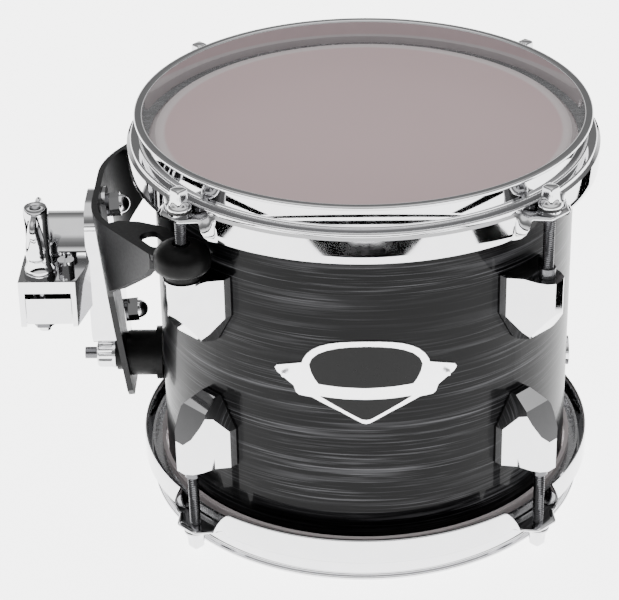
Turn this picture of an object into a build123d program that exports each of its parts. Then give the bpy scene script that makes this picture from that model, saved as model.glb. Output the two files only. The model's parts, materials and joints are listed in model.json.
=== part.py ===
from build123d import *
import math
import os

os.makedirs("parts", exist_ok=True)

# An 8 x 7 inch tom tom drum with two heads, hung from a suspension plate with an arm bracket.
# Millimetres, +Z up. The origin is on the drum's axis, in the plane that the bottom hoop's lip
# rests on. The plate and its bracket are on the -X side, the badge faces -Y.

# ---- Shell and heads -----------------------------------------------------------------------
shell_diameter = 203.2       # over the wrap
shell_depth = 178.0          # bearing edge to bearing edge
shell_wall = 7.5             # wood only
wrap_thickness = 0.6
wrap_setback = 3.2           # wrap edge below the bearing edge
edge_inset = 2.0             # peak of the bearing edge, in from the wood's outside
film_thickness = 0.3
collar_gap = 1.0             # air between the wrap and the film's collar
flesh_width = 6.5
flesh_height = 7.6
flesh_drop = 2.1             # top of the flesh hoop below the bearing edge

# ---- Hoops ---------------------------------------------------------------------------------
lip_above_edge = 11.1        # lip above the bearing edge
hoop_sheet = 1.6
hoop_wall_gap = 2.4          # hoop's upper wall outside the flesh hoop's inner face
lip_width = 4.1
hoop_flesh_gap = 0.8         # air between the flesh hoop and the hoop's second wall
ear_drop = 15.0              # ear's top face below the lip
skirt_drop = 26.5            # skirt's lower edge below the lip
ear_reach = 12.5             # ear's tip beyond the second wall's outside
ear_root_width = 26.0
ear_shoulder_width = 23.0
ear_tip_width = 12.0
ear_window_width = 22.0      # gap in the skirt under each ear
rod_angles = (45, 135, 225, 315)

# ---- Tension rods --------------------------------------------------------------------------
rod_diameter = 5.56
rod_offset = 5.8             # rod axis beyond the second wall's outside
rod_hole_gap = 0.6           # radial gap in the ear's hole
washer_thickness = 1.0
steel_washer_radius = 5.7
nylon_washer_radius = 5.5
rod_collar_radius = 5.6
rod_collar_height = 2.4
rod_square = 6.4
rod_square_height = 7.8
thread_past_nut = 2.0

# ---- Lugs ----------------------------------------------------------------------------------
lug_setback = 38.1           # lug's open end from the bearing edge
lug_height = 35.5
lug_width = 28.0
lug_point_width = 10.0
lug_flat_height = 20.0       # full width part, from the open end
nose_radius = 7.5            # lug's nose round the rod
nose_height = 16.5
gasket_thickness = 0.8
lug_wall = 1.8
recess_depth = 4.0
nut_body_wall = 2.22         # round the rod
nut_body_height = 9.9
nut_collar_wall = 1.02
nut_collar_height = 8.1
nut_shelf = 3.0              # lug metal that the swivel nut pulls against
nut_clearance = 0.2
rod_running_gap = 0.05
lug_screw_radius = 2.0
lug_screw_gap = 0.05
lug_screw_high = 7.5         # upper screw from the lug's open end
lug_screw_pitch = 20.5
lug_screw_length = 16.0
lug_screw_head_radius = 3.6
lug_screw_head_height = 2.4
lug_washer_radius = 7.0
lug_washer_thickness = 1.2

# ---- Badge and air vent --------------------------------------------------------------------
badge_width = 84.0
badge_drop = 15.6            # badge's lower point below mid height
badge_height = 44.0
badge_thickness = 0.8
badge_enamel_thickness = 0.25
badge_pin_x = 37.9
badge_pin_radius = 1.1
badge_pin_rise = 23.9        # pins above the badge's lower point
vent_drop = 36.6             # vent's axis below mid height
vent_hole_radius = 4.8
vent_wall = 0.7
vent_flange_radius = 7.35
vent_flange_thickness = 1.4

# ---- Suspension plate ----------------------------------------------------------------------
plate_tilt = 5.65            # degrees, top outwards
plate_gap = 25.6             # wrap to the plate's outer face at socket height
plate_sheet = 3.0
plate_corner_y = 30.4        # where the flat back and a wing would meet
plate_wing_angle = 35.4      # wing from the back's plane
plate_bend_radius = 45.0
wing_end_gap = 7.11          # wing's end short of the rod, across the drum
web_half_width = 22.0
web_foot_half_width = 12.0
web_past_bumper = 19.64      # plate's foot below the bumper's axis
arm_end_radius = 10.0
arm_hole_radius = 6.8
arm_slot_length = 18.0
arm_slot_width = 9.0

# ---- Rubber grommets in the arms -----------------------------------------------------------
grommet_radius = 13.2
grommet_lower_radius = 11.8
grommet_flare_low = 6.2      # where the lower part widens, above its washer
grommet_flare_high = 7.8
grommet_lip = 6.85           # arm's lower face at the rod, above the same washer
grommet_height = 17.6        # from its washer to its crown
grommet_crown_radius = 6.4
sleeve_wall = 1.07
sleeve_gap = 0.25            # between the rod and the sleeve
grommet_washer_radius = 9.0
grommet_washer_thickness = 1.2

# ---- Bumper --------------------------------------------------------------------------------
bumper_lift = 0.25           # bumper's axis above midway from the lower hoop to the barrel
bumper_radius = 11.5
bumper_pad_radius = 13.5
bumper_pad_thickness = 3.2
bumper_shell_gap = 0.3
bumper_stud_radius = 3.0
bumper_stud_length = 14.4    # stud beyond the plate
bumper_washer_radius = 8.7
bumper_washer_inset = 2.0    # washer's end, in from the plate's face at socket height
thumb_nut_radius = 7.75
thumb_nut_length = 9.9
thumb_nut_flutes = 12

# ---- Arm bracket ---------------------------------------------------------------------------
socket_drop = 33.0           # arm socket's axis below the lugs' open ends
arm_tube_diameter = 22.2     # holder arm, 7/8 inch
liner_thickness = 1.2
socket_reach = 36.8          # socket's mouth beyond the plate's outer face
socket_depth = 32.5
barrel_wall = 4.7
barrel_rise = 8.0            # the barrel's second centre above the socket axis
block_past_mouth = 2.5       # clamp block's outer face beyond the socket's mouth
block_front = 38.0
block_rise = 7.4             # block's top above the socket axis
block_length = 27.5
base_reach = 8.3             # outer face of the bracket's base flange from the plate
base_half_width = 17.0
base_above = 35.0            # flange's top above the socket axis
base_nut_gap = 11.0          # flange's lower end above the bumper's axis
base_corner = 12.0
jaw_inset = 3.1              # jaw's outer face, in from the block's
jaw_length = 21.8
jaw_slit = 3.0
jaw_top_drop = 1.8           # jaw's top below the socket axis
jaw_height = 13.7
jaw_reach = 2.0              # jaw goes this far past the socket's axis plane
jaw_gap = 0.3
jaw_front_gap = 1.5
jaw_room = 6.0               # open space under the jaw
wing_bolt_inset = 10.0       # bolt's axis, in from the block's outer face
wing_bolt_y = -28.0
wing_bolt_radius = 3.0
wing_bolt_gap = 0.05
wing_bolt_hole_gap = 0.3
hub_radius = 6.0
hub_height = 34.1            # above its washer
hub_hole_radius = 2.5
hub_hole_depth = 10.0
wing_span = 34.0
wing_thickness = 7.0
wing_bottom_rise = 16.9      # above the hub's washer
wing_top_rise = 32.6
bolt_washer_thickness = 1.5
bolt_washer_radius = 8.0
jaw_nut_height = 5.0
jaw_nut_flats = 10.0
lock_screw_inset = 22.0      # screw's axis, in from the block's outer face
lock_screw_y = -24.0
lock_screw_head_radius = 4.0
lock_screw_head_height = 5.0
lock_screw_shank_radius = 2.0
lock_screw_depth = 5.0
stud_radius = 3.0
stud_high = 29.3             # upper stud above the socket axis, along the plate
stud_above_base = 13.25      # lower stud above the flange's lower end
stud_depth = 4.0
stud_past_plate = 11.0
backing_thickness = 2.0
backing_half_width = 7.5
backing_top = 38.0
backing_past_stud = 12.1
lock_washer_thickness = 1.2
lock_washer_radius = 5.8
acorn_flats = 10.0
acorn_hex_height = 5.0
acorn_dome_radius = 4.6

# ---- Sizes worked out from the driving ones ------------------------------------------------
shell_r = shell_diameter / 2
wood_r = shell_r - wrap_thickness
bore_r = wood_r - shell_wall
overall_height = shell_depth + 2 * lip_above_edge
mid_z = overall_height / 2
edge_z = mid_z + shell_depth / 2
lip_z = overall_height
badge_bottom = mid_z - badge_drop
vent_height = mid_z - vent_drop

peak_r = wood_r - edge_inset
collar_in = shell_r + collar_gap
flesh_in = collar_in + film_thickness
flesh_out = flesh_in + flesh_width
flesh_top = edge_z - flesh_drop
flesh_bottom = flesh_top - flesh_height

wall_in = flesh_in + hoop_wall_gap
wall_out = wall_in + hoop_sheet
second_in = flesh_out + hoop_flesh_gap
second_out = second_in + hoop_sheet
skirt_out = second_out + hoop_sheet
ear_top = lip_z - ear_drop
ear_bottom = ear_top - hoop_sheet
skirt_bottom = lip_z - skirt_drop

rod_r = rod_diameter / 2
rod_circle = second_out + rod_offset
nut_body_radius = rod_r + nut_body_wall
nut_collar_radius = rod_r + nut_collar_wall
sleeve_outer_radius = rod_r + sleeve_gap + sleeve_wall
head_base = ear_top + 2 * washer_thickness

lug_open = edge_z - lug_setback
lug_far = lug_open - lug_height
lug_back = shell_r + gasket_thickness
nose_face = rod_circle + nose_radius
nut_shoulder = lug_open - nut_shelf
nut_bottom = nut_shoulder - nut_body_height
rod_tip = nut_bottom - thread_past_nut
lug_screw_heights = (lug_open - lug_screw_high, lug_open - lug_screw_high - lug_screw_pitch)
washer_seat = math.sqrt(bore_r ** 2 - lug_washer_radius ** 2)

seat_z = lug_open + grommet_washer_thickness
grommet_top = seat_z + grommet_height
plate_offset = shell_r + plate_gap
socket_height = lug_open - socket_drop
bumper_stud_end = plate_offset + bumper_stud_length
bumper_washer_end = plate_offset - bumper_washer_inset
tilt = math.radians(plate_tilt)
rod_across = rod_circle * math.sin(math.radians(45))
plate_to_rod = plate_offset - rod_across
wing_length = (rod_across - wing_end_gap - plate_corner_y) / math.cos(math.radians(plate_wing_angle))
arm_at_rod = seat_z + grommet_lip + plate_sheet
arm_top = (arm_at_rod - socket_height - plate_to_rod * math.tan(tilt)) * math.cos(tilt)
plate_up = Vector(-math.sin(tilt), 0, math.cos(tilt))
plate_out = Vector(-math.cos(tilt), 0, -math.sin(tilt))
plate_origin = Vector(-plate_offset, 0, socket_height)
arm_plane = Plane(origin=plate_origin, x_dir=-plate_out, z_dir=plate_up)
face_plane = Plane(origin=plate_origin, x_dir=(0, -1, 0), z_dir=plate_out)

liner_in = arm_tube_diameter / 2
liner_out = liner_in + liner_thickness
barrel_radius = liner_out + barrel_wall
socket_mouth = plate_offset + socket_reach
socket_floor = socket_mouth - socket_depth
base_face = plate_offset + base_reach
bumper_height = (skirt_drop + socket_height - barrel_radius) / 2 + bumper_lift
base_bottom = bumper_height + base_nut_gap
stud_low = (base_bottom + stud_above_base - socket_height) / math.cos(tilt)
stud_heights = (stud_high, stud_low)
backing_bottom = stud_low - backing_past_stud
web_foot = (bumper_height - web_past_bumper - socket_height) / math.cos(tilt)
base_top = socket_height + base_above
block_end = socket_mouth + block_past_mouth
block_inner = block_end - block_length
block_top = socket_height + block_rise
block_bottom = socket_height - barrel_radius
jaw_outer = block_end - jaw_inset
jaw_inner = jaw_outer - jaw_length
jaw_top = socket_height - jaw_top_drop
jaw_bottom = jaw_top - jaw_height
wing_bolt_x = -block_end + wing_bolt_inset
lock_screw_x = -block_end + lock_screw_inset
washer_top = block_top + bolt_washer_thickness
hub_top = washer_top + hub_height
wing_bottom = washer_top + wing_bottom_rise
wing_top = washer_top + wing_top_rise
left_angles = (135, 225)


def ring(inner, outer, low, high):
    """A tube about the Z axis."""
    tube = Pos(0, 0, low) * Cylinder(outer, high - low, align=(Align.CENTER, Align.CENTER, Align.MIN))
    return tube - Pos(0, 0, low) * Cylinder(inner, high - low, align=(Align.CENTER, Align.CENTER, Align.MIN))


def turned(points):
    """A closed outline of (radius, height) turned about the Z axis."""
    outline = Plane.XZ * Polygon(*points, align=None)
    return revolve(outline, Axis.Z, 360)


def rod(x, y, radius, low, high):
    """An upright cylinder."""
    return Pos(x, y, low) * Cylinder(radius, high - low, align=(Align.CENTER, Align.CENTER, Align.MIN))


def along_x(y, z, radius, start, end):
    """A cylinder along X from start to end."""
    low, high = min(start, end), max(start, end)
    core = Cylinder(radius, high - low, align=(Align.CENTER, Align.CENTER, Align.MIN))
    return Pos(low, y, z) * Rot(0, 90, 0) * core


def block(x, y, z):
    """A box from its ranges."""
    size = Box(x[1] - x[0], y[1] - y[0], z[1] - z[0], align=(Align.MIN, Align.MIN, Align.MIN))
    return Pos(x[0], y[0], z[0]) * size


def around(piece, angles):
    """Copies of a piece that was made on the +X side, at each angle."""
    return [Rot(0, 0, angle) * piece for angle in angles]


def to_bottom(piece):
    """The same piece at the bottom head."""
    return mirror(piece, about=Plane.XY.offset(mid_z))


def group(pieces):
    """Separate solids that share a node."""
    return Compound(children=[solid for piece in pieces for solid in piece.solids()])


def write(name, piece):
    export_step(piece, "parts/" + name + ".step")


# ---- Shell and wrap ------------------------------------------------------------------------
def lug_screw_holes(radius):
    """Cylinders through the wall at every lug screw."""
    cuts = []
    for height in lug_screw_heights:
        hole = along_x(0, height, radius, bore_r - 5, shell_r + 5)
        cuts += around(hole, rod_angles)
        cuts += around(to_bottom(hole), rod_angles)
    return cuts


def badge_pin_holes(radius):
    pin = Rot(90, 0, 0) * Cylinder(radius, 20, align=(Align.CENTER, Align.CENTER, Align.MIN))
    front = -math.sqrt(shell_r ** 2 - badge_pin_x ** 2)
    return [Pos(side * badge_pin_x, front + 14, badge_bottom + badge_pin_rise) * pin for side in (-1, 1)]


def make_shell():
    bottom = mid_z - shell_depth / 2
    inner_run = peak_r - bore_r
    wall = turned([
        (bore_r, bottom + inner_run), (peak_r - 0.5, bottom), (peak_r + 0.5, bottom),
        (wood_r, bottom + edge_inset), (wood_r, edge_z - edge_inset), (peak_r + 0.5, edge_z),
        (peak_r - 0.5, edge_z), (bore_r, edge_z - inner_run),
    ])
    vent = along_x(0, vent_height, vent_hole_radius, bore_r - 5, shell_r + 5)
    return wall - lug_screw_holes(lug_screw_radius + 0.2) - vent - badge_pin_holes(badge_pin_radius + 0.1)


def make_wrap():
    skin = ring(wood_r, shell_r, mid_z - shell_depth / 2 + wrap_setback, edge_z - wrap_setback)
    vent = along_x(0, vent_height, vent_hole_radius, bore_r - 5, shell_r + 5)
    return skin - lug_screw_holes(lug_screw_radius + 0.2) - vent - badge_pin_holes(badge_pin_radius + 0.1)


# ---- Heads ---------------------------------------------------------------------------------
groove_in = flesh_in + 1.4
groove_out = flesh_out - 1.2
groove_top = flesh_bottom + 5.2


def make_flesh_hoop():
    channel = turned([
        (flesh_in, flesh_bottom), (groove_in, flesh_bottom), (groove_in, groove_top),
        (groove_out, groove_top), (groove_out, flesh_bottom), (flesh_out, flesh_bottom),
        (flesh_out, flesh_top), (flesh_in, flesh_top),
    ])
    return channel


def make_film():
    """A flat disc with a sloping collar whose edge hooks up into the flesh hoop's groove."""
    slope = collar_in - peak_r - 0.6
    hook = film_thickness
    return turned([
        (0, edge_z), (peak_r + 0.6, edge_z), (collar_in, edge_z - slope),
        (collar_in, flesh_bottom - hook), (groove_in + hook, flesh_bottom - hook),
        (groove_in + hook, flesh_bottom + 3.6), (groove_in, flesh_bottom + 3.6),
        (groove_in, flesh_bottom), (flesh_in, flesh_bottom), (flesh_in, edge_z - slope + 0.1),
        (peak_r + 0.7, edge_z + film_thickness), (0, edge_z + film_thickness),
    ])


# ---- Hoops ---------------------------------------------------------------------------------
def make_hoop():
    body = turned([
        (wall_in, lip_z), (wall_in + lip_width, lip_z), (wall_in + lip_width, lip_z - hoop_sheet),
        (wall_out, lip_z - hoop_sheet), (wall_out, flesh_top + hoop_sheet),
        (second_out, flesh_top + hoop_sheet), (second_out, ear_top), (skirt_out, ear_top),
        (skirt_out, skirt_bottom), (second_out, skirt_bottom), (second_out, ear_bottom),
        (second_in, ear_bottom), (second_in, flesh_top), (wall_in, flesh_top),
    ])
    window = block((second_in + 0.2, skirt_out + 5), (-ear_window_width / 2, ear_window_width / 2),
                   (skirt_bottom - 1, ear_bottom))
    root, shoulder, tip = ear_root_width / 2, ear_shoulder_width / 2, ear_tip_width / 2
    outline = Polygon(
        (second_in + 0.3, -root), (second_out + 1.5, -root), (second_out + 6, -shoulder),
        (second_out + ear_reach, -tip), (second_out + ear_reach, tip), (second_out + 6, shoulder),
        (second_out + 1.5, root), (second_in + 0.3, root), align=None,
    )
    ear = Pos(0, 0, ear_bottom) * extrude(outline, hoop_sheet)
    inside = rod(0, 0, second_in, ear_bottom - 1, ear_top + 1)
    hole = rod(rod_circle, 0, rod_r + rod_hole_gap, ear_bottom - 1, ear_top + 1)
    body = body - around(window, rod_angles)
    body = body + around(ear - inside, rod_angles)
    return body - around(hole, rod_angles)


# ---- Tension rods and washers --------------------------------------------------------------
def make_rod():
    thread = rod(rod_circle, 0, rod_r, rod_tip, head_base)
    collar = rod(rod_circle, 0, rod_collar_radius, head_base, head_base + rod_collar_height)
    low = head_base + rod_collar_height
    half = rod_square / 2
    square = block((rod_circle - half, rod_circle + half), (-half, half), (low, low + rod_square_height))
    square = chamfer(square.faces().sort_by(Axis.Z)[-1].edges(), 0.8)
    return thread + collar + square


def make_rod_washer(radius, level):
    low = ear_top + level * washer_thickness
    plain = rod(rod_circle, 0, radius, low, low + washer_thickness)
    return plain - rod(rod_circle, 0, rod_r + 0.15, low - 1, low + washer_thickness + 1)


# ---- Lugs ----------------------------------------------------------------------------------
def lug_plan():
    """The lug seen from above, from inside the shell's surface to its nose."""
    half = lug_width / 2
    return Polygon(
        (shell_r - 8, -half), (lug_back + 3, -half), (rod_circle - 6, -half + 4.5),
        (rod_circle + 1, -nose_radius - 0.4), (nose_face - 2.4, -nose_radius + 1.6),
        (nose_face, -2.6), (nose_face, 2.6), (nose_face - 2.4, nose_radius - 1.6),
        (rod_circle + 1, nose_radius + 0.4), (rod_circle - 6, half - 4.5),
        (lug_back + 3, half), (shell_r - 8, half), align=None,
    )


def lug_front():
    """The lug seen from in front: (across, height)."""
    half, point = lug_width / 2, lug_point_width / 2
    shoulder = lug_open - lug_flat_height
    return [(-half, lug_open), (-half, shoulder), (-point, lug_far), (point, lug_far),
            (half, shoulder), (half, lug_open)]


def lug_prism(start, end):
    """The front outline as a solid along X."""
    outline = Plane.YZ.offset(start) * Polygon(*lug_front(), align=None)
    return extrude(outline, end - start)


def make_lug():
    side = Plane.XZ.offset(-lug_width) * Polygon(
        (shell_r - 8, lug_far), (lug_back + 3, lug_far), (rod_circle - 3, lug_far + 4.5),
        (nose_face, lug_open - nose_height), (nose_face, lug_open), (shell_r - 8, lug_open), align=None)
    body = Pos(0, 0, lug_far) * extrude(lug_plan(), lug_height)
    body = body & extrude(side, 2 * lug_width) & lug_prism(shell_r - 8, nose_face + 1)
    body = body - rod(0, 0, lug_back, lug_far - 1, lug_open + 1)
    inset = offset(lug_plan(), -lug_wall)
    recess = Pos(0, 0, lug_open - recess_depth) * extrude(inset, recess_depth + 1)
    recess = recess - rod(
        rod_circle, 0, nut_body_radius + lug_wall, lug_open - recess_depth - 1, lug_open + 2)
    pocket = rod(rod_circle, 0, nut_body_radius + nut_clearance, nut_bottom - 6, nut_shoulder)
    exit_hole = rod(rod_circle, 0, nut_collar_radius + nut_clearance, nut_shoulder - 1, lug_open + 1)
    window_half = nut_body_radius + nut_clearance
    window = block((shell_r - 8, rod_circle), (-window_half, window_half),
                   (lug_screw_heights[1] + 4.2, lug_screw_heights[0] - 4.2))
    body = body - recess - pocket - exit_hole - window
    for height in lug_screw_heights:
        reach = bore_r + lug_screw_length + 0.5
        body = body - along_x(0, height, lug_screw_radius + lug_screw_gap, shell_r - 8, reach)
    return body


def make_gasket():
    pad = lug_prism(shell_r - 8, nose_face) & ring(shell_r, lug_back, lug_far - 1, lug_open + 1)
    for height in lug_screw_heights:
        pad = pad - along_x(0, height, lug_screw_radius + 0.2, shell_r - 8, lug_back + 4)
    return pad


def make_swivel_nut():
    body = rod(rod_circle, 0, nut_body_radius, nut_bottom, nut_shoulder)
    collar = rod(rod_circle, 0, nut_collar_radius, nut_shoulder, nut_shoulder + nut_collar_height)
    return body + collar - rod(rod_circle, 0, rod_r + rod_running_gap, nut_bottom - 1, lug_open + 9)


def make_retainer():
    """A soft block that fills the window behind the swivel nut."""
    half = nut_body_radius - 0.1
    low, high = lug_screw_heights[1] + 4.5, lug_screw_heights[0] - 4.5
    pad = block((lug_back + 0.6, rod_circle), (-half, half), (low, high))
    return pad - rod(rod_circle, 0, nut_body_radius + 0.1, low - 1, high + 1)


def make_lug_screw(height):
    head_seat = washer_seat - lug_washer_thickness
    shank = along_x(0, height, lug_screw_radius, head_seat, bore_r + lug_screw_length)
    hexagon = Pos(head_seat - lug_screw_head_height, 0, height) * Rot(0, 90, 0) * extrude(
        RegularPolygon(lug_screw_head_radius, 6), lug_screw_head_height)
    return shank + hexagon


def make_lug_washer(height):
    head_seat = washer_seat - lug_washer_thickness
    disc = along_x(0, height, lug_washer_radius, head_seat, washer_seat)
    return disc - along_x(0, height, lug_screw_radius + 0.15, head_seat - 1, washer_seat + 1)


# ---- Badge and vent ------------------------------------------------------------------------
def badge_half(outline):
    """Both halves of a closed outline given as shares of the badge's half width and height."""
    half = badge_width / 2
    left = [(-across * half, badge_bottom + up * badge_height) for across, up in outline]
    right = [(-x, z) for x, z in reversed(left) if x != 0]
    return Polygon(*(left + right), align=None)


badge_plate_half = (
    (0, 1), (0.15, 0.996), (0.28, 0.984), (0.40, 0.96), (0.50, 0.923), (0.58, 0.876),
    (0.645, 0.812), (0.685, 0.745),
    (0.70, 0.70), (0.86, 0.655), (0.975, 0.62), (1.0, 0.585), (0.975, 0.54), (0.795, 0.407), (0.77, 0.33),
    (0.735, 0.304), (0.595, 0.295), (0.28, 0.143), (0.04, 0.008), (0, 0),
)
badge_oval_half = (
    (0, 0.94), (0.16, 0.932), (0.30, 0.912), (0.42, 0.878), (0.52, 0.83), (0.59, 0.765), (0.622, 0.69),
    (0.60, 0.60), (0.56, 0.52), (0.52, 0.466), (0.30, 0.45), (0, 0.441),
)
badge_point_half = ((0, 0.296), (0.25, 0.30), (0.50, 0.314), (0.30, 0.20), (0.05, 0.058), (0, 0.05))


def badge_layer(outline, inner, outer):
    face = Plane.XZ.offset(shell_r / 2) * badge_half(outline)
    return extrude(face, shell_r) & ring(inner, outer, badge_bottom - 1, badge_bottom + badge_height + 1)


def make_badge_pins():
    height = badge_bottom + badge_pin_rise
    front = -math.sqrt((shell_r + badge_thickness) ** 2 - badge_pin_x ** 2)
    pins = []
    for side in (-1, 1):
        shank = Pos(side * badge_pin_x, front + 10, height) * Rot(90, 0, 0) * Cylinder(
            badge_pin_radius, 12.5, align=(Align.CENTER, Align.CENTER, Align.MIN))
        pins.append(shank)
    return pins


def make_vent():
    reach = shell_r + vent_flange_thickness
    tube = along_x(0, vent_height, vent_hole_radius - 0.1, bore_r - 3, shell_r + 0.5)
    flange = along_x(0, vent_height, vent_flange_radius, shell_r - 2, reach)
    flange = flange - rod(0, 0, shell_r, vent_height - 20, vent_height + 20)
    bore = along_x(0, vent_height, vent_hole_radius - 0.1 - vent_wall, bore_r - 5, reach + 1)
    return tube + flange - bore


def make_vent_ring():
    clamp = along_x(0, vent_height, vent_flange_radius - 0.4, bore_r - 2.4, bore_r + 2)
    clamp = clamp & rod(0, 0, bore_r, vent_height - 20, vent_height + 20)
    return clamp - along_x(0, vent_height, vent_hole_radius, bore_r - 5, bore_r + 5)


# ---- Suspension plate ----------------------------------------------------------------------
def wing_point(distance, inset):
    """A point on the +Y wing's outer face, in the arm plane: x inwards from the back, y along Y."""
    turn = math.radians(plate_wing_angle)
    x = distance * math.sin(turn) + inset * math.cos(turn)
    y = plate_corner_y + distance * math.cos(turn) - inset * math.sin(turn)
    return (x, y)


def rod_in_arm_plane():
    """Where the rear left tension rod crosses the arm's top face, in the arm plane."""
    across = (plate_to_rod + arm_top * math.sin(tilt)) / math.cos(tilt)
    return (across, rod_across)


def plate_outline():
    """The plate's back and wings seen from outside: (across, along the plate)."""
    right_half = [
        (0, web_foot), (web_foot_half_width - 3, web_foot), (web_foot_half_width, web_foot + 4),
        (web_half_width, -10), (web_half_width + 3, -6), 
        (rod_across - 38.2, arm_top - 33), (rod_across - 26.2, arm_top - 24),
        (rod_across - 15.2, arm_top - 15.5), (rod_across - 8.7, arm_top - 8.5),
        (rod_across - 6.2, arm_top + 1),
    ]
    left_half = [(-across, along) for across, along in reversed(right_half[1:])]
    return Polygon(*(right_half + left_half), align=None)


def make_arm():
    """The +Y arm: a flat tongue from the wing's top edge to the tension rod."""
    rod_x, rod_y = rod_in_arm_plane()
    tongue = Polygon(
        (rod_x + 7, rod_y - 7), (rod_x + 4, rod_y + 8), wing_point(wing_length + 13, 0.4),
        wing_point(13.5, 0.2), (rod_x - 33, rod_y - 44.2),
        (rod_x - 23, rod_y - 41.2), (rod_x - 10, rod_y - 33.2), (rod_x - 2, rod_y - 21.2),
        align=None)
    tongue = tongue + Pos(rod_x, rod_y) * Circle(arm_end_radius)
    slot = Pos(rod_x - 14.5, rod_y - 21.5) * Rot(0, 0, 56) * SlotOverall(arm_slot_length, arm_slot_width)
    tongue = tongue - slot - Pos(rod_x, rod_y) * Circle(arm_hole_radius)
    return extrude(arm_plane.offset(arm_top) * tongue, plate_sheet, dir=-plate_up)


def make_plate():
    half_turn = math.radians(plate_wing_angle / 2)
    corner = (plate_sheet / 2, plate_corner_y - plate_sheet / 2 * math.tan(half_turn))
    end = wing_point(wing_length, plate_sheet / 2)
    spine = FilletPolyline((end[0], -end[1]), (corner[0], -corner[1]), corner, end,
                           radius=plate_bend_radius)
    shield = extrude(arm_plane.offset(web_foot) * trace(spine, line_width=plate_sheet), arm_top - web_foot)
    plate = shield & extrude(face_plane.offset(-80) * plate_outline(), 120)
    arm = make_arm()
    plate = plate + arm + mirror(arm, about=Plane.XZ)
    for height in stud_heights:
        plate = plate - face_plane * Pos(0, height, 0) * Cylinder(stud_radius + 0.2, 20)
    return plate - along_x(0, bumper_height, bumper_stud_radius + 0.5, -plate_offset - 20, -shell_r - 3)


def make_backing():
    strip = face_plane.offset(-plate_sheet - backing_thickness) * Pos(0, (backing_top + backing_bottom) / 2) \
        * RectangleRounded(2 * backing_half_width, backing_top - backing_bottom, 5)
    strip = extrude(strip, backing_thickness)
    for height in stud_heights:
        strip = strip - face_plane * Pos(0, height, 0) * Cylinder(stud_radius + 0.2, 20)
    return strip


# ---- Grommets ------------------------------------------------------------------------------


def make_grommet(angle, plate):
    """A rubber hat through the plate's arm; the arm lies in the groove that it cuts."""
    body = turned([
        (sleeve_outer_radius, seat_z), (grommet_lower_radius, seat_z),
        (grommet_lower_radius, seat_z + grommet_flare_low),
        (grommet_radius, seat_z + grommet_flare_high), (grommet_radius, grommet_top - 6),
        (grommet_radius - 2, grommet_top - 3),
        (grommet_crown_radius, grommet_top), (sleeve_outer_radius, grommet_top),
    ])
    x = rod_circle * math.cos(math.radians(angle))
    y = rod_circle * math.sin(math.radians(angle))
    cut = Pos(x, y, 0) * body - plate
    return cut.solids().sort_by(SortBy.VOLUME)[-1]


def make_sleeve():
    low = nut_shoulder + nut_collar_height + 0.2
    tube = rod(rod_circle, 0, sleeve_outer_radius, low, grommet_top)
    return tube - rod(rod_circle, 0, rod_r + sleeve_gap, low - 1, grommet_top + 1)


def make_grommet_washer():
    disc = rod(rod_circle, 0, grommet_washer_radius, lug_open, seat_z)
    return disc - rod(rod_circle, 0, nut_collar_radius + 0.15, lug_open - 1, seat_z + 1)


# ---- Bumper --------------------------------------------------------------------------------
def plate_side(inner):
    """Everything on the plate's inner or outer side, as one large block."""
    level = -plate_sheet if inner else 0
    side = Align.MAX if inner else Align.MIN
    slab = Box(overall_height, overall_height, overall_height, align=(Align.CENTER, Align.CENTER, side))
    return face_plane.offset(level) * slab


def make_bumper():
    front = -shell_r - bumper_shell_gap
    barrel = along_x(0, bumper_height, bumper_radius, -plate_offset - 5, front)
    pad = along_x(0, bumper_height, bumper_pad_radius, front - bumper_pad_thickness, front)
    body = (barrel + pad) & plate_side(True)
    return body - along_x(0, bumper_height, bumper_stud_radius, -plate_offset - 20, front - 8)


def make_bumper_stud():
    return along_x(0, bumper_height, bumper_stud_radius, -bumper_stud_end, -shell_r - bumper_shell_gap - 8)


def make_bumper_washer():
    disc = along_x(0, bumper_height, bumper_washer_radius, -bumper_washer_end, -plate_offset + 12)
    disc = disc & plate_side(False)
    return disc - along_x(0, bumper_height, bumper_stud_radius + 0.15, -plate_offset - 20, -shell_r)


def make_thumb_nut():
    start = -bumper_washer_end - 0.1
    body = along_x(0, bumper_height, thumb_nut_radius, start, start - thumb_nut_length)
    for index in range(thumb_nut_flutes):
        turn = 2 * math.pi * index / thumb_nut_flutes
        y = thumb_nut_radius * math.cos(turn)
        z = bumper_height + thumb_nut_radius * math.sin(turn)
        body = body - along_x(y, z, 0.8, start - 2.2, start - thumb_nut_length - 1)
    return body - along_x(0, bumper_height, bumper_stud_radius + rod_running_gap, start + 1, start - 20)


# ---- Arm bracket ---------------------------------------------------------------------------
def make_jaw_box(gap):
    """The space that the jaw fills, grown by a gap on its sides."""
    return block((-jaw_outer - gap, -jaw_inner + gap), (-block_front - jaw_front_gap, jaw_reach + gap),
                 (jaw_bottom - jaw_room, jaw_top))


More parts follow.
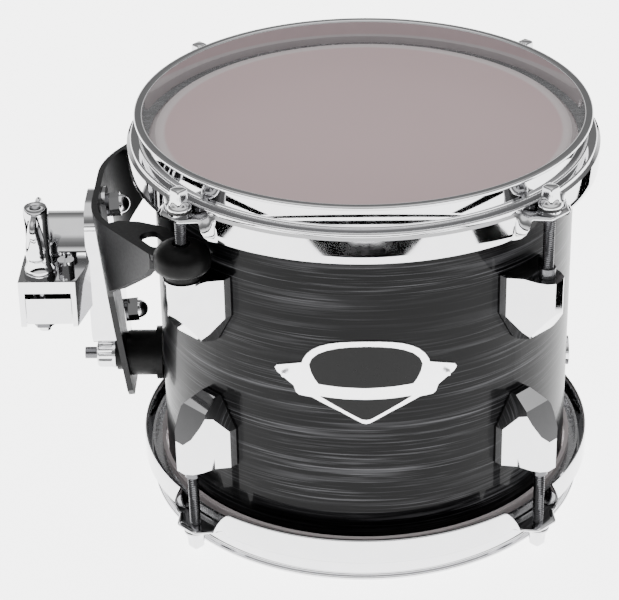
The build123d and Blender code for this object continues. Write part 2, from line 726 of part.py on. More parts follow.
def make_bracket():
    base = Plane.YZ.offset(-base_face) * Pos(0, (base_bottom + base_top) / 2) * RectangleRounded(
        2 * base_half_width, base_top - base_bottom, base_corner)
    base = extrude(base, base_face - plate_offset + 15) & plate_side(False)
    section = Plane.YZ.offset(-socket_mouth) * make_hull(
        (Pos(0, socket_height) * Circle(barrel_radius)).edges()
        + (Pos(0, socket_height + barrel_rise) * Circle(barrel_radius)).edges())
    barrel = extrude(section, socket_mouth - base_face + 3)
    clamp = Polygon(
        (-block_end, -block_front), (-block_inner, -block_front), (-base_face + 1.5, -17),
        (-base_face + 1.5, 0), (-block_end, 0), align=None)
    clamp = Pos(0, 0, block_bottom) * extrude(clamp, block_top - block_bottom)
    body = base + barrel + clamp
    body = body - along_x(0, socket_height, liner_out, -block_end - 5, -socket_floor)
    pocket = make_jaw_box(jaw_gap)
    slit = block((-jaw_outer - jaw_gap, -jaw_inner + jaw_gap), (-block_front - 1, 0),
                 (jaw_top - 1, jaw_top + jaw_slit))
    nut_room = block((-jaw_outer - jaw_gap, -jaw_inner + jaw_gap), (-block_front - 1, jaw_reach + jaw_gap),
                     (block_bottom - 8, jaw_bottom))
    body = body - pocket - slit - nut_room
    bolt_hole = rod(wing_bolt_x, wing_bolt_y, wing_bolt_radius + wing_bolt_hole_gap, jaw_top, block_top + 5)
    screw_hole = rod(
        lock_screw_x, lock_screw_y, lock_screw_shank_radius, block_top - lock_screw_depth, block_top + 1)
    body = body - bolt_hole - screw_hole
    for height in stud_heights:
        core = Pos(0, height, stud_depth) * Cylinder(
            stud_radius, 40, align=(Align.CENTER, Align.CENTER, Align.MAX))
        body = body - face_plane * core
    return body


def make_liner():
    tube = along_x(0, socket_height, liner_out, -socket_mouth, -socket_floor)
    tube = tube - along_x(0, socket_height, liner_in, -socket_mouth - 1, -socket_floor + 1)
    room = block((-jaw_outer - jaw_gap, -jaw_inner + jaw_gap), (-block_front, jaw_reach + jaw_gap),
                 (block_bottom - 8, jaw_top + jaw_slit))
    return tube - room


def make_jaw():
    body = block((-jaw_outer, -jaw_inner), (-block_front, jaw_reach), (jaw_bottom, jaw_top))
    body = body - along_x(0, socket_height, liner_in, -jaw_outer - 1, -jaw_inner + 1)
    body = body - rod(
        wing_bolt_x, wing_bolt_y, wing_bolt_radius + wing_bolt_hole_gap, jaw_bottom - 1, jaw_top + 1)
    return body


def make_jaw_nut():
    low = jaw_bottom - jaw_nut_height
    body = Pos(wing_bolt_x, wing_bolt_y, low) * extrude(
        RegularPolygon(jaw_nut_flats / 2, 6, major_radius=False), jaw_nut_height)
    return body - rod(wing_bolt_x, wing_bolt_y, wing_bolt_radius + wing_bolt_gap, low - 1, jaw_bottom + 1)


def make_wing_bolt():
    shank = rod(wing_bolt_x, wing_bolt_y, wing_bolt_radius, jaw_bottom - jaw_nut_height - 2.5, washer_top + 1)
    hub = rod(wing_bolt_x, wing_bolt_y, hub_radius, washer_top, hub_top)
    half = wing_span / 2
    profile = Polygon(
        (-hub_radius + 1, wing_bottom - 8), (hub_radius - 1, wing_bottom - 8), (half - 6, wing_bottom),
        (half - 1, wing_bottom + 1), (half, wing_bottom + 5), (half, wing_top - 2), (half - 3, wing_top),
        (-half + 3, wing_top), (-half, wing_top - 2), (-half, wing_bottom + 5), (-half + 1, wing_bottom + 1),
        (-half + 6, wing_bottom), align=None)
    wings = extrude(Plane.YZ.offset(-wing_thickness / 2) * profile, wing_thickness)
    wings = Pos(wing_bolt_x, wing_bolt_y, 0) * wings
    blind = rod(wing_bolt_x, wing_bolt_y, hub_hole_radius, hub_top - hub_hole_depth, hub_top + 1)
    return shank + hub + wings - blind


def make_bolt_washer():
    high = block_top + bolt_washer_thickness
    disc = rod(wing_bolt_x, wing_bolt_y, bolt_washer_radius, block_top, high)
    return disc - rod(wing_bolt_x, wing_bolt_y, wing_bolt_radius + 0.15, block_top - 1, high + 1)


def make_lock_screw():
    head = rod(
        lock_screw_x, lock_screw_y, lock_screw_head_radius, block_top, block_top + lock_screw_head_height)
    shank = rod(
        lock_screw_x, lock_screw_y, lock_screw_shank_radius, block_top - lock_screw_depth, block_top + 1)
    high = block_top + lock_screw_head_height
    slot = block((lock_screw_x - 0.6, lock_screw_x + 0.6), (lock_screw_y - 5, lock_screw_y + 5),
                 (high - 1.5, high + 1))
    return head + shank - slot


nut_seat = plate_sheet + backing_thickness + lock_washer_thickness


def make_stud(height):
    low = -(nut_seat + stud_past_plate - 4.5)
    core = Cylinder(stud_radius, stud_depth - low, align=(Align.CENTER, Align.CENTER, Align.MIN))
    return face_plane * Pos(0, height, low) * core


def make_lock_washer(height):
    disc = Cylinder(lock_washer_radius, lock_washer_thickness, align=(Align.CENTER, Align.CENTER, Align.MAX))
    disc = disc - Cylinder(stud_radius + 0.15, 10)
    return face_plane * Pos(0, height, -plate_sheet - backing_thickness) * disc


def make_acorn_nut(height):
    hexagon = extrude(RegularPolygon(acorn_flats / 2, 6, major_radius=False), -acorn_hex_height)
    dome = Pos(0, 0, -acorn_hex_height) * Sphere(acorn_dome_radius)
    body = hexagon + (dome & Pos(0, 0, -acorn_hex_height - 10) * Box(20, 20, 20))
    bore = Cylinder(stud_radius + 0.05, 6.6, align=(Align.CENTER, Align.CENTER, Align.MAX))
    return face_plane * Pos(0, height, -nut_seat) * (body - bore)


# ---- Write every node ----------------------------------------------------------------------
corner_names = {45: "rear_right", 135: "rear_left", 225: "front_left", 315: "front_right"}

write("shell", make_shell())
write("shell_wrap", make_wrap())

flesh_hoop = make_flesh_hoop()
film = make_film()
hoop = make_hoop()
write("batter_film", film)
write("batter_flesh_hoop", flesh_hoop)
write("top_hoop", hoop)
write("resonant_film", to_bottom(film))
write("resonant_flesh_hoop", to_bottom(flesh_hoop))
write("bottom_hoop", to_bottom(hoop))

lug = make_lug()
tension_rod = make_rod()
for angle, name in corner_names.items():
    write("top_lug_" + name, Rot(0, 0, angle) * lug)
    write("bottom_lug_" + name, Rot(0, 0, angle) * to_bottom(lug))
    write("top_rod_" + name, Rot(0, 0, angle) * tension_rod)
    write("bottom_rod_" + name, Rot(0, 0, angle) * to_bottom(tension_rod))


def at_every_lug(piece):
    return around(piece, rod_angles) + around(to_bottom(piece), rod_angles)


write("lug_gaskets", group(at_every_lug(make_gasket())))
write("swivel_nuts", group(at_every_lug(make_swivel_nut())))
write("nut_retainers", group(at_every_lug(make_retainer())))
write("lug_screws", group(
    [piece for height in lug_screw_heights for piece in at_every_lug(make_lug_screw(height))]))
write("lug_washers", group(
    [piece for height in lug_screw_heights for piece in at_every_lug(make_lug_washer(height))]))
write("rod_steel_washers", group(at_every_lug(make_rod_washer(steel_washer_radius, 0))))
write("rod_nylon_washers", group(at_every_lug(make_rod_washer(nylon_washer_radius, 1))))

badge_blank = badge_layer(badge_plate_half, shell_r, shell_r + badge_thickness)
badge = badge_blank - badge_pin_holes(badge_pin_radius + 0.05)
write("badge_plate", badge)
enamel_top = shell_r + badge_thickness + badge_enamel_thickness
write("badge_enamel", group([badge_layer(outline, shell_r + badge_thickness, enamel_top)
                             for outline in (badge_oval_half, badge_point_half)]))
write("badge_pins", group(make_badge_pins()))
write("vent_grommet", make_vent())
write("vent_ring", make_vent_ring())

plate = make_plate()
write("suspension_plate", plate)
write("backing_plate", make_backing())
write("plate_grommets", group([make_grommet(angle, plate) for angle in left_angles]))
write("grommet_sleeves", group(around(make_sleeve(), left_angles)))
write("grommet_washers", group(around(make_grommet_washer(), left_angles)))

write("bumper_foot", make_bumper())
write("bumper_stud", make_bumper_stud())
write("bumper_washer", make_bumper_washer())
write("bumper_thumb_nut", make_thumb_nut())

write("bracket_body", make_bracket())
write("socket_liner", make_liner())
write("clamp_jaw", make_jaw())
write("jaw_nut", make_jaw_nut())
write("wing_bolt", make_wing_bolt())
write("wing_bolt_washer", make_bolt_washer())
write("lock_screw", make_lock_screw())
write("bracket_studs", group([make_stud(height) for height in stud_heights]))
write("bracket_lock_washers", group([make_lock_washer(height) for height in stud_heights]))
write("bracket_acorn_nuts", group([make_acorn_nut(height) for height in stud_heights]))
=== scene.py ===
import json
import math

import bmesh
import bpy
from mathutils import Matrix, Vector


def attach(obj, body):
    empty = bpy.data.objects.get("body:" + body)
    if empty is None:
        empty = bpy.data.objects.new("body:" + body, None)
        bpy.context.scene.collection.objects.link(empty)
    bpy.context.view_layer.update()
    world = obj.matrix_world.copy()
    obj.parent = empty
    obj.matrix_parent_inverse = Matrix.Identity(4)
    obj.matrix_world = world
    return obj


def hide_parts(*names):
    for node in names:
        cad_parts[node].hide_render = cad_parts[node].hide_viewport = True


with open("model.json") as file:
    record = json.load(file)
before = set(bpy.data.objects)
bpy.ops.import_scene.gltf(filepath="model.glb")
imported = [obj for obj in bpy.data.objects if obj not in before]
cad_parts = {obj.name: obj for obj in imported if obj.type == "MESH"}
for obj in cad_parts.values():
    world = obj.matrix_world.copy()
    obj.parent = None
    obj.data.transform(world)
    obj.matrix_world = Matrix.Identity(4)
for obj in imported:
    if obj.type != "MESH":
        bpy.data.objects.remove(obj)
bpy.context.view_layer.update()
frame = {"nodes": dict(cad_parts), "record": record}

NODES = frame["nodes"]
MM = 0.001

# ---- Places shared with the CAD part, in millimetres -----------------------------------------
LIP = 200.2                  # top hoop's lip; the bottom one is at 0
HALF_SHEET = 0.8             # half the hoops' sheet thickness
WING_BOLT = (-156.5, -28.0)  # the wing bolt's axis
BUMPER_STUD = 64.0           # height of the lower bumper's stud
ROD_CIRCLE = 117.6
ROD_R = 2.78
HEAD_BASE = 187.2
ROD_TIP = 136.1
CORNERS = {"rear_right": 45, "rear_left": 135, "front_left": 225, "front_right": 315}
BRACKET_CORNERS = (CORNERS["rear_left"], CORNERS["front_left"])

# ---- Camera, in metres and degrees ------------------------------------------------------------
CAMERA_PLACE = (-0.00424, -0.99067, 0.64549)
CAMERA_TILT = 59.984
CAMERA_TURN = -0.462
CAMERA_LENS = 131.675
CAMERA_SHIFT = (-0.0757, 0.0561)


# ---- Mesh helpers ----------------------------------------------------------------------------
def add_object(name, verts, faces, material, body, slot, nodes=(), bevel=0, segments=3, angle=40):
    """A piece from millimetre vertices, riding on its body and standing for its CAD nodes."""
    mesh = bpy.data.meshes.new(name)
    mesh.from_pydata([tuple(c * MM for c in v) for v in verts], [], faces)
    work = bmesh.new()
    work.from_mesh(mesh)
    bmesh.ops.recalc_face_normals(work, faces=work.faces)
    work.to_mesh(mesh)
    work.free()
    for polygon in mesh.polygons:
        polygon.use_smooth = True
    mesh.set_sharp_from_angle(angle=math.radians(angle))
    piece = bpy.data.objects.new(name, mesh)
    bpy.context.scene.collection.objects.link(piece)
    mesh.materials.append(material)
    if bevel:
        round_edges(piece, bevel, segments)
    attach(piece, body)
    if nodes:
        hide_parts(*nodes)
    return piece


def round_edges(piece, width, segments=3, angle=35):
    modifier = piece.modifiers.new("rounding", "BEVEL")
    modifier.width = width * MM
    modifier.segments = segments
    modifier.limit_method = "ANGLE"
    modifier.angle_limit = math.radians(angle)
    modifier.harden_normals = True


def loft(sections, closed=False, caps=True):
    """Quads between closed loops that have the same number of points."""
    count = len(sections[0])
    verts = [point for section in sections for point in section]
    faces = []
    rows = len(sections) if closed else len(sections) - 1
    for row in range(rows):
        low, high = row * count, (row + 1) % len(sections) * count
        for i in range(count):
            j = (i + 1) % count
            faces.append((low + i, low + j, high + j, high + i))
    if caps and not closed:
        faces.append(tuple(range(count)))
        faces.append(tuple(range(len(verts) - count, len(verts))))
    return verts, faces


def join(*parts):
    verts, faces = [], []
    for part_verts, part_faces in parts:
        start = len(verts)
        verts += part_verts
        faces += [tuple(i + start for i in face) for face in part_faces]
    return verts, faces


def moved(part, change):
    """The part with every vertex passed through a function."""
    return [change(v) for v in part[0]], part[1]


def lathe(outline, steps=48):
    """An open (radius, height) outline turned about Z; ends on the axis are closed by small caps."""
    sections = []
    for radius, height in outline:
        radius = max(radius, 0.01)
        turns = [2 * math.pi * i / steps for i in range(steps)]
        sections.append([(radius * math.cos(turn), radius * math.sin(turn), height) for turn in turns])
    return loft(sections)


def rounded(points, radii, steps=4):
    """A closed outline with an arc at each corner."""
    result = []
    count = len(points)
    for i, (x, y) in enumerate(points):
        radius = radii[i]
        if radius <= 0:
            result.append((x, y))
            continue
        before, after = Vector(points[i - 1]), Vector(points[(i + 1) % count])
        corner = Vector((x, y))
        a, b = (before - corner), (after - corner)
        reach = min(radius, a.length * 0.49, b.length * 0.49)
        a.normalize()
        b.normalize()
        for k in range(steps + 1):
            u = k / steps
            point = corner + a * reach * (1 - u) ** 2 + b * reach * u ** 2
            result.append((point.x, point.y))
    return result


def smooth_step(low, high, value):
    u = min(max((value - low) / (high - low), 0), 1)
    return u * u * (3 - 2 * u)


def to_bottom(v):
    return (v[0], v[1], LIP - v[2])


def at_corner(angle, radius=ROD_CIRCLE):
    c, s = math.cos(math.radians(angle)), math.sin(math.radians(angle))
    return lambda v: (radius * c + v[0] * c - v[1] * s, radius * s + v[0] * s + v[1] * c, v[2])


# ---- Materials -------------------------------------------------------------------------------
def new_material(name):
    material = bpy.data.materials.new(name)
    material.use_nodes = True
    tree = material.node_tree
    return material, tree, tree.nodes["Principled BSDF"]


def set_inputs(node, **values):
    for key, value in values.items():
        node.inputs[key.replace("_", " ")].default_value = value


def noise(tree, scale, detail=3.0, vector=None, rough=0.5):
    node = tree.nodes.new("ShaderNodeTexNoise")
    set_inputs(node, Scale=scale, Detail=detail, Roughness=rough)
    if vector is None:
        coords = tree.nodes.new("ShaderNodeTexCoord")
        vector = coords.outputs["Object"]
    tree.links.new(vector, node.inputs["Vector"])
    return node.outputs["Fac"]


def ramp(tree, value, stops):
    node = tree.nodes.new("ShaderNodeValToRGB")
    while len(node.color_ramp.elements) < len(stops):
        node.color_ramp.elements.new(0.5)
    for element, (place, grey) in zip(node.color_ramp.elements, stops):
        element.position = place
        element.color = (*grey, 1) if isinstance(grey, tuple) else (grey, grey, grey, 1)
    tree.links.new(value, node.inputs["Fac"])
    return node.outputs["Color"]


def maths(tree, operation, a, b=None):
    node = tree.nodes.new("ShaderNodeMath")
    node.operation = operation
    for socket, value in zip(node.inputs, (a, b)):
        if isinstance(value, (int, float)):
            socket.default_value = value
        elif value is not None:
            tree.links.new(value, socket)
    return node.outputs[0]


def mix(tree, factor, a, b):
    node = tree.nodes.new("ShaderNodeMix")
    node.data_type = "RGBA"
    for index, value in ((0, factor), (6, a), (7, b)):
        if isinstance(value, (int, float)):
            node.inputs[index].default_value = value
        elif isinstance(value, tuple):
            node.inputs[index].default_value = (*value, 1)
        else:
            tree.links.new(value, node.inputs[index])
    return node.outputs[2]


def simple(name, base, roughness, metallic=0.0, vary=0.03, scale=300.0, bump=0.0, coat=0.0, shine=0.5):
    """One finish whose roughness, and slightly its colour, varies with fine noise."""
    material, tree, shader = new_material(name)
    grain = noise(tree, scale)
    darker = tuple(c * 0.9 for c in base)
    tree.links.new(mix(tree, grain, darker, base), shader.inputs["Base Color"])
    low, high = max(roughness - vary, 0.0), roughness + vary
    tree.links.new(ramp(tree, grain, ((0.3, low), (0.7, high))), shader.inputs["Roughness"])
    set_inputs(shader, Metallic=metallic, Coat_Weight=coat, Coat_Roughness=0.08, Specular_IOR_Level=shine)
    if bump:
        node = tree.nodes.new("ShaderNodeBump")
        set_inputs(node, Strength=bump, Distance=0.0003)
        tree.links.new(grain, node.inputs["Height"])
        tree.links.new(node.outputs["Normal"], shader.inputs["Normal"])
    return material


def chrome_material():
    material = simple("chrome", (0.62, 0.62, 0.63), 0.04, metallic=1.0, vary=0.012, scale=160.0)
    return material


def wrap_material():
    """Glossy charcoal film with fine wavy strata of grey and white running round the shell."""
    material, tree, shader = new_material("wrap")
    coords = tree.nodes.new("ShaderNodeTexCoord")
    split = tree.nodes.new("ShaderNodeSeparateXYZ")
    tree.links.new(coords.outputs["Object"], split.inputs[0])
    x, y, z = split.outputs
    around = maths(tree, "ARCTAN2", maths(tree, "MULTIPLY", y, -1.0), maths(tree, "MULTIPLY", x, -1.0))

    def band(turns, rise, offset, detail, wave=0.0):
        joined = tree.nodes.new("ShaderNodeCombineXYZ")
        height = z
        if wave:
            sway = noise_at(turns * 0.35, 9.0, offset + 4.0, 1.0)
            height = maths(tree, "ADD", z, maths(tree, "MULTIPLY", maths(tree, "SUBTRACT", sway, 0.5), wave))
        tree.links.new(maths(tree, "MULTIPLY", around, turns), joined.inputs[0])
        tree.links.new(maths(tree, "MULTIPLY", height, rise), joined.inputs[1])
        joined.inputs[2].default_value = offset
        return noise(tree, 1.0, detail, joined.outputs[0], 0.6)

    def noise_at(turns, rise, offset, detail):
        joined = tree.nodes.new("ShaderNodeCombineXYZ")
        tree.links.new(maths(tree, "MULTIPLY", around, turns), joined.inputs[0])
        tree.links.new(maths(tree, "MULTIPLY", z, rise), joined.inputs[1])
        joined.inputs[2].default_value = offset
        return noise(tree, 1.0, detail, joined.outputs[0])

    broad = band(0.9, 55.0, 0.0, 2.0, 0.012)
    mid = band(1.1, 260.0, 7.0, 3.0, 0.012)
    fine = band(1.2, 1000.0, 3.0, 3.0, 0.012)
    threads = ramp(tree, fine, ((0.0, 0.0), (0.54, 0.0), (0.62, 0.5), (0.74, 1.0)))
    strands = ramp(tree, mid, ((0.0, 0.0), (0.52, 0.0), (0.66, 0.7), (0.82, 1.0)))
    patches = ramp(tree, broad, ((0.0, 0.05), (0.42, 0.18), (0.6, 1.0), (1.0, 1.0)))
    light = maths(tree, "MULTIPLY", maths(tree, "ADD", maths(tree, "MULTIPLY", threads, 0.55),
                                          maths(tree, "MULTIPLY", strands, 0.3)), patches)
    base = mix(tree, light, (0.0008, 0.0008, 0.001), (0.14, 0.14, 0.148))
    tree.links.new(base, shader.inputs["Base Color"])
    set_inputs(shader, Roughness=0.3, Specular_IOR_Level=0.03, Coat_Weight=0.12, Coat_Roughness=0.02)
    return material


def film_material():
    """Thin polyester: a faint pink mist over the dark inside, with a clearer ring at its edge."""
    material, tree, shader = new_material("film")
    coords = tree.nodes.new("ShaderNodeTexCoord")
    split = tree.nodes.new("ShaderNodeSeparateXYZ")
    tree.links.new(coords.outputs["Object"], split.inputs[0])
    x, y = split.outputs[0], split.outputs[1]
    squares = maths(tree, "ADD", maths(tree, "MULTIPLY", x, x), maths(tree, "MULTIPLY", y, y))
    radius = maths(tree, "SQRT", squares)
    per_metre = 8.0                    # the ramps below run from the centre to a radius of 125 mm
    ring_start, ring_full = 0.757, 0.768
    centre_alpha, ring_alpha = 0.78, 0.7
    place = maths(tree, "MULTIPLY", radius, per_metre)
    cloud = noise(tree, 12.0, 2.0)
    centre = mix(tree, cloud, (0.68, 0.52, 0.53), (0.72, 0.56, 0.57))
    ring = ramp(tree, place, ((0.0, 0.0), (ring_start, 0.0), (ring_full, 1.0), (1.0, 1.0)))
    tree.links.new(mix(tree, ring, centre, (0.8, 0.73, 0.735)), shader.inputs["Base Color"])
    alpha = ramp(tree, place, ((0.0, centre_alpha), (ring_start, centre_alpha),
                               (ring_full, ring_alpha), (1.0, ring_alpha)))
    tree.links.new(alpha, shader.inputs["Alpha"])
    set_inputs(shader, Roughness=0.38, Specular_IOR_Level=0.1)
    return material


def wood_material():
    material, tree, shader = new_material("maple")
    coords = tree.nodes.new("ShaderNodeTexCoord")
    scale = tree.nodes.new("ShaderNodeMapping")
    scale.inputs["Scale"].default_value = (6, 6, 90)
    tree.links.new(coords.outputs["Object"], scale.inputs["Vector"])
    grain = noise(tree, 3.0, 6.0, scale.outputs[0])
    tree.links.new(mix(tree, grain, (0.26, 0.19, 0.15), (0.36, 0.27, 0.22)), shader.inputs["Base Color"])
    set_inputs(shader, Roughness=0.45, Coat_Weight=0.2)
    return material


CHROME = chrome_material()
STEEL = simple("steel", (0.10, 0.10, 0.105), 0.25, metallic=1.0, vary=0.08)
BLACK_PAINT = simple("black_paint", (0.005, 0.005, 0.0055), 0.4, vary=0.05, scale=700.0, bump=0.1,
                     shine=0.16)
RUBBER = simple("rubber", (0.002, 0.002, 0.002), 0.4, vary=0.08, scale=500.0, bump=0.1, shine=0.1)
NYLON = simple("nylon", (0.02, 0.02, 0.02), 0.4, shine=0.2)
ALUMINIUM = simple("aluminium", (0.6, 0.6, 0.61), 0.25, metallic=1.0, vary=0.06)
SILVER = simple("badge_silver", (0.86, 0.86, 0.87), 0.3, metallic=0.9)
ENAMEL = simple("badge_black", (0.003, 0.003, 0.003), 0.25, shine=0.12)
WRAP = wrap_material()
FILM = film_material()
WOOD = wood_material()
FINISHES = {"maple": WOOD, "wrap": WRAP, "film": FILM, "aluminium": ALUMINIUM, "chrome": CHROME,
            "steel": STEEL, "black_paint": BLACK_PAINT, "rubber": RUBBER, "nylon": NYLON,
            "badge_silver": SILVER, "badge_black": ENAMEL}


def finish_cad_nodes():
    """Every CAD node that stays in sight gets the finish of its material slot."""
    for part in frame["record"]["subparts"]:
        NODES[part["node"]].data.materials.clear()
        NODES[part["node"]].data.materials.append(FINISHES[part["material_slot"]])


# ---- Hoops -----------------------------------------------------------------------------------
def hoop_section(angle):
    """The hoop's closed (radius, height) outline; angle is from the nearest rod, in degrees."""
    fixed = rounded(
        [(107.0, 187.0), (105.3, 187.0), (105.3, 200.2), (109.4, 200.2), (109.4, 198.3), (106.9, 198.3),
         (106.9, 188.6), (111.8, 188.6), (111.8, 186.6)],
        [0, 0, 1.1, 1.2, 0.8, 0.9, 1.2, 1.5, 0])
    away = abs(angle)
    flat = 1 - smooth_step(5.6, 9.0, away)
    across = math.radians(away)
    if away < 2.77:
        tip = 124.3 / math.cos(across) * 0.999
    elif away < 5.7:
        tip = 124.3 + (117.9 - 124.3) * (away - 2.77) / 2.93
    else:
        tip = 117.9
    length = 11.5 + flat * (tip - 111.8 - 11.5)
    turn = math.radians(90 * (1 - flat))
    hinge = (112.6 - 0.8 * flat, 185.6 - 1.2 * flat)
    along = (math.cos(turn), -math.sin(turn))
    out = (math.sin(turn), math.cos(turn))
    flap = []
    steps = 6
    for k in range(steps + 1):
        reach = length * k / steps - (0.4 if k == steps else 0)
        half = HALF_SHEET - (0.25 if k == steps else 0)
        flap.append((hinge[0] + along[0] * reach + out[0] * half,
                     hinge[1] + along[1] * reach + out[1] * half))
    flap.append((hinge[0] + along[0] * length + out[0] * 0.3, hinge[1] + along[1] * length + out[1] * 0.3))
    flap.append((hinge[0] + along[0] * length - out[0] * 0.3, hinge[1] + along[1] * length - out[1] * 0.3))
    for k in range(steps, -1, -1):
        reach = length * k / steps - (0.4 if k == steps else 0)
        half = HALF_SHEET - (0.25 if k == steps else 0)
        flap.append((hinge[0] + along[0] * reach - out[0] * half,
                     hinge[1] + along[1] * reach - out[1] * half))
    return fixed + flap + [(110.2, 184.0), (110.2, 187.0)]


def hoop_part():
    angles = []
    for rod in CORNERS.values():
        angles += [rod - 11 + 0.5 * k for k in range(45)]
        angles += [rod + 11.5 + 1.5 * k for k in range(45)]
    sections = []
    for angle in angles:
        offset = angle % 90 - 45
        c, s = math.cos(math.radians(angle)), math.sin(math.radians(angle))
        sections.append([(r * c, r * s, z) for r, z in hoop_section(offset)])
    return loft(sections, closed=True)


def make_hoops():
    part = hoop_part()
    add_object("top_hoop_look", *part, CHROME, "drum", "chrome", ["top_hoop"], angle=50)
    add_object("bottom_hoop_look", *moved(part, to_bottom), CHROME, "drum", "chrome", ["bottom_hoop"],
               angle=50)


# ---- Tension rods ----------------------------------------------------------------------------
def rod_part():
    """A threaded rod with a round flange and a flared square head, on the Z axis."""
    pitch, steps, depth = 1.06, 18, 0.5
    rings = int((HEAD_BASE - ROD_TIP) / pitch * 4)
    sections = []
    for row in range(rings + 1):
        z = ROD_TIP + (HEAD_BASE - ROD_TIP) * row / rings
        section = []
        for i in range(steps):
            phase = (z / pitch - i / steps) % 1.0
            cut = depth * abs(2 * phase - 1)
            if row == 0:
                cut = 0.7
            radius = ROD_R - cut
            turn = 2 * math.pi * i / steps
            section.append((radius * math.cos(turn), radius * math.sin(turn), z))
        sections.append(section)
    thread = loft(sections)
    flange = lathe([(2.5, 187.2), (5.1, 187.2), (5.6, 187.6), (5.6, 188.4), (5.2, 188.9), (4.6, 189.5)], 32)
    head = []
    for z, half, square in ((189.2, 4.7, 0.0), (190.0, 4.2, 0.25), (191.0, 3.6, 0.7), (192.0, 3.25, 1.0),
                            (194.0, 3.1, 1.0), (196.4, 3.0, 1.0), (197.1, 2.7, 1.0), (197.4, 2.1, 0.8)):
        section = []
        for i in range(32):
            angle = 2 * math.pi * (i + 0.5) / 32
            c, s = math.cos(angle), math.sin(angle)
            box = min(1 / max(abs(c), abs(s)), 1.27)
            radius = half * (1 + (box - 1) * square)
            section.append((radius * c, radius * s, z))
        head.append(section)
    return join(thread, flange, loft(head))


def make_rods():
    part = rod_part()
    for name, angle in CORNERS.items():
        top = moved(part, at_corner(angle))
        for end, piece in (("top", top), ("bottom", moved(top, to_bottom))):
            node = f"{end}_rod_{name}"
            look = add_object(node + "_look", *piece, CHROME, node, "chrome", [node], angle=50)
            look.data.materials.append(STEEL)
            for polygon in look.data.polygons:
                height = polygon.center.z / MM
                height = height if end == "top" else LIP - height
                if height < HEAD_BASE - 0.2:
                    polygon.material_index = 1


# ---- Grommets --------------------------------------------------------------------------------
def make_grommets():
    outline = [(4.3, 152.2), (8.0, 152.2), (8.5, 152.7), (8.5, 156.6), (12.0, 157.2), (12.9, 158.0),
               (13.3, 159.6), (13.3, 162.5), (12.8, 164.8), (11.6, 166.7), (9.6, 168.3), (7.2, 169.4),
               (4.3, 169.8)]
    hat = lathe(outline)
    parts = [moved(hat, at_corner(angle)) for angle in BRACKET_CORNERS]
    add_object("plate_grommets_look", *join(*parts), RUBBER, "drum", "rubber", ["plate_grommets"],
               angle=60)


# ---- Wing bolt and thumb nut -----------------------------------------------------------------
def make_wing_bolt():
    hub = [(3.0, 94.5), (3.0, 126.9), (7.2, 126.9), (7.6, 127.6), (7.2, 129.0), (6.2, 131.5), (5.8, 136.0),
           (5.8, 150.0), (6.0, 156.0), (5.9, 160.2), (5.3, 161.0), (3.0, 161.0), (2.5, 160.5), (2.4, 151.0),
           (0.1, 150.8)]
    body = lathe(hub, 40)
    wings = []
    for side in (-1, 1):
        rows = []
        for z, reach, half in ((135.5, 9.5, 2.6), (137.0, 12.0, 3.7), (139.5, 15.0, 4.4), (143.0, 16.8, 4.6),
                               (148.0, 17.0, 4.1), (152.0, 16.9, 3.3), (156.0, 16.3, 2.4), (158.6, 15.0, 1.7),
                               (159.5, 13.4, 1.0)):
            centre = (3.0 + reach) / 2
            row = []
            for i in range(24):
                angle = 2 * math.pi * i / 24
                c, n = math.cos(angle), math.sin(angle)
                row.append((half * math.copysign(abs(n) ** 0.7, n),
                            side * (centre + (reach - centre) * math.copysign(abs(c) ** 0.6, c)), z))
            rows.append(row)
        wings.append(loft(rows))
    part = moved(join(body, *wings), lambda v: (v[0] + WING_BOLT[0], v[1] + WING_BOLT[1], v[2]))
    add_object("wing_bolt_look", *part, CHROME, "wing_bolt", "chrome", ["wing_bolt"], angle=50)


def make_thumb_nut():
    """A knurled thumb nut on the bumper's stud, along -X."""
    steps = 72
    sections = []
    for x, radius, knurl in ((-125.3, 3.2, 0), (-125.3, 7.2, 0), (-126.0, 7.75, 0), (-127.4, 7.75, 0),
                             (-127.9, 7.5, 0.9), (-134.0, 7.4, 0.9), (-134.8, 6.9, 0.5), (-135.2, 6.2, 0),
                             (-135.2, 3.2, 0)):
        section = []
        for i in range(steps):
            angle = 2 * math.pi * i / steps
            wave = max(0.0, math.cos(12 * angle)) ** 1.5
            r = radius - knurl * wave
            section.append((x, r * math.cos(angle), BUMPER_STUD + r * math.sin(angle)))
        sections.append(section)
    add_object("bumper_thumb_nut_look", *loft(sections, caps=False), CHROME, "bumper_thumb_nut", "chrome",
               ["bumper_thumb_nut"], angle=35)


# ---- CAD nodes that keep their shape, with rounded edges -------------------------------------
def round_cad_nodes():
    widths = {"bracket_body": 1.0, "suspension_plate": 0.5, "bumper_foot": 0.8, "clamp_jaw": 0.5,
              "lock_screw": 0.4, "badge_plate": 0.15}
    for node, width in widths.items():
        round_edges(NODES[node], width, 3)
    for end in ("top", "bottom"):
        for corner in CORNERS:
            round_edges(NODES[f"{end}_lug_{corner}"], 0.6, 3, 25)


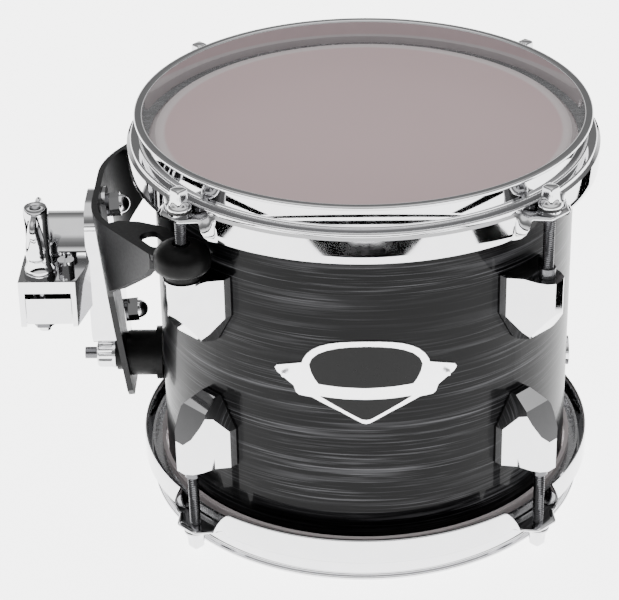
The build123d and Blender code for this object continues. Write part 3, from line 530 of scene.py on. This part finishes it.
# ---- Camera, floor and light -----------------------------------------------------------------
def make_camera():
    data = bpy.data.cameras.new("camera")
    data.lens = CAMERA_LENS
    data.sensor_width = 36
    data.shift_x, data.shift_y = CAMERA_SHIFT
    data.clip_start = 0.05
    camera = bpy.data.objects.new("camera", data)
    bpy.context.scene.collection.objects.link(camera)
    tilt = Matrix.Rotation(math.radians(CAMERA_TILT), 4, "X")
    turn = Matrix.Rotation(math.radians(CAMERA_TURN), 4, "Z")
    camera.matrix_world = Matrix.Translation(CAMERA_PLACE) @ tilt @ turn
    bpy.context.scene.camera = camera


def card(name, place, size, turn, material, seen=True):
    """A flat studio card; not part of the object. One that isn't seen only shows in reflections."""
    bpy.ops.mesh.primitive_plane_add(size=1, location=place, rotation=[math.radians(a) for a in turn])
    piece = bpy.context.object
    piece.name = name
    piece.scale = (size[0], size[1], 1)
    piece.data.materials.append(material)
    piece.visible_camera = seen


def make_stage():
    floor_paint, tree, shader = new_material("floor_paint")
    set_inputs(shader, Base_Color=(0.93, 0.93, 0.93, 1), Roughness=0.8)
    set_inputs(shader, Emission_Color=(1, 1, 1, 1), Emission_Strength=4.6)
    card("floor", (0, 0, 0), (30, 30), (0, 0, 0), floor_paint)
    flag_cloth = simple("flag_cloth", (0.002, 0.002, 0.002), 0.9, shine=0.0)
    for name, place, size in (("flag_front_near", (0, -0.445, 0.001), (1.1, 0.04)),
                              ("flag_front_far", (0, -0.56, 0.001), (1.1, 0.09)),
                              ("flag_left", (-0.42, -0.05, 0.001), (0.07, 0.7)),
                              ("flag_right", (0.36, -0.05, 0.001), (0.06, 0.7))):
        card(name, place, size, (0, 0, 0), flag_cloth, seen=False)
    world = bpy.data.worlds.new("studio")
    world.use_nodes = True
    tree = world.node_tree
    coords = tree.nodes.new("ShaderNodeTexCoord")
    split = tree.nodes.new("ShaderNodeSeparateXYZ")
    tree.links.new(coords.outputs["Generated"], split.inputs[0])
    sky = ramp(tree, split.outputs[2], ((0.0, 0.01), (0.07, 0.01), (0.11, 1.0), (0.2, 0.85),
                                        (0.36, 0.12), (0.55, 0.16), (0.72, 0.3), (0.86, 0.85)))
    tree.links.new(sky, tree.nodes["Background"].inputs["Color"])
    tree.nodes["Background"].inputs["Strength"].default_value = 1.9
    bpy.context.scene.world = world


finish_cad_nodes()
make_hoops()
make_rods()
make_grommets()
make_wing_bolt()
make_thumb_nut()
round_cad_nodes()
make_camera()
make_stage()
